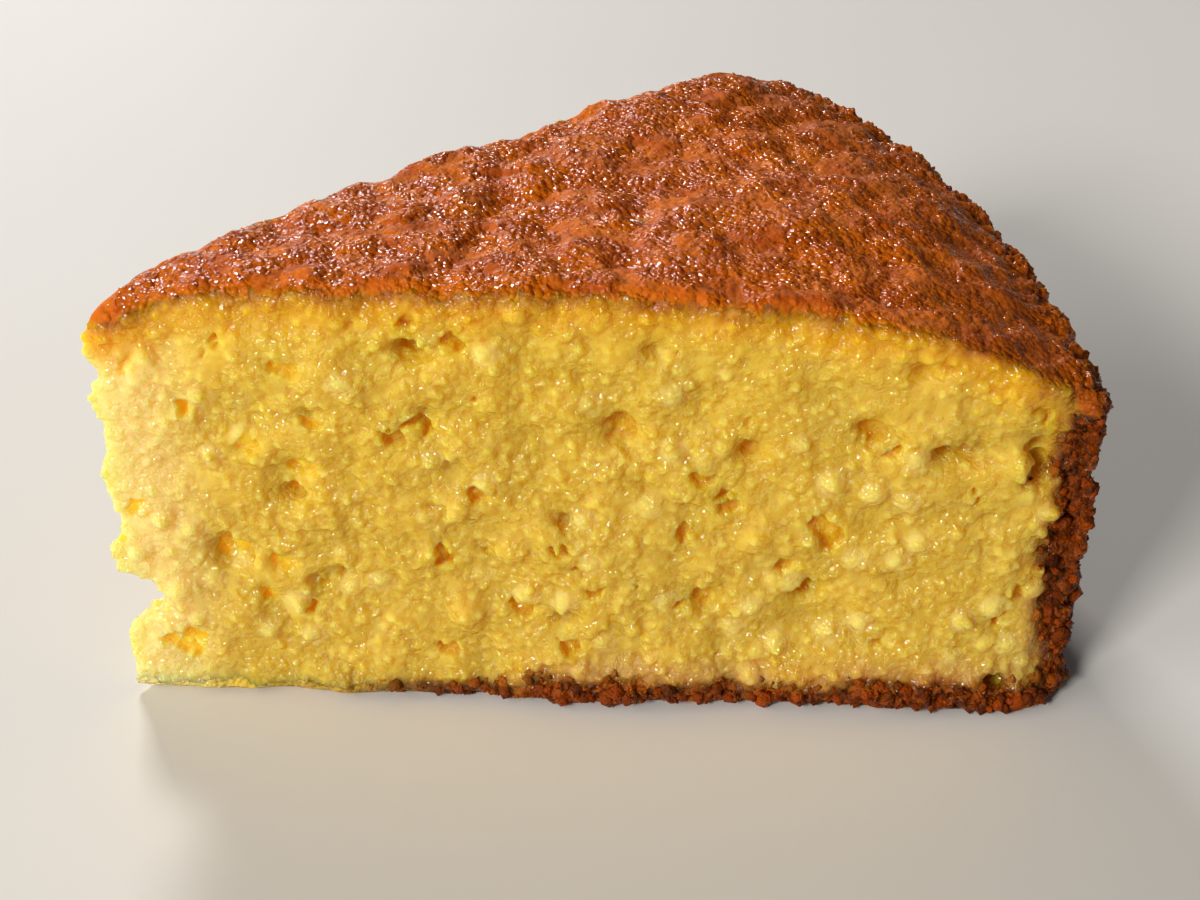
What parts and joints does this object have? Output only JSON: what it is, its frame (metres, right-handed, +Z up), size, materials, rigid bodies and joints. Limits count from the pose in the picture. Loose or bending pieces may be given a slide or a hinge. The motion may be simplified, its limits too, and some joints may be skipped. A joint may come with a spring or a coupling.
{
  "type": "slice of lemon yogurt cake",
  "caption": "Wedge of a round lemon yogurt cake as cut: moist open crumb, browned domed top, dark rim and base crust, resting flat on its base.",
  "frame": {"origin": "Below the middle of the slice's bounding box, on the plane of the flat base.", "axes": "+X runs along the near cut face from the tip of the wedge to the rim, +Y from that face into the slice, +Z up."},
  "size_m": [0.1026, 0.0738, 0.0507],
  "materials": {
    "baked_crumb": "moist matte crumb with a glossy browned crust"
  },
  "bodies": {
    "root": {"cake_slice": "baked_crumb"}
  },
  "joints": []
}
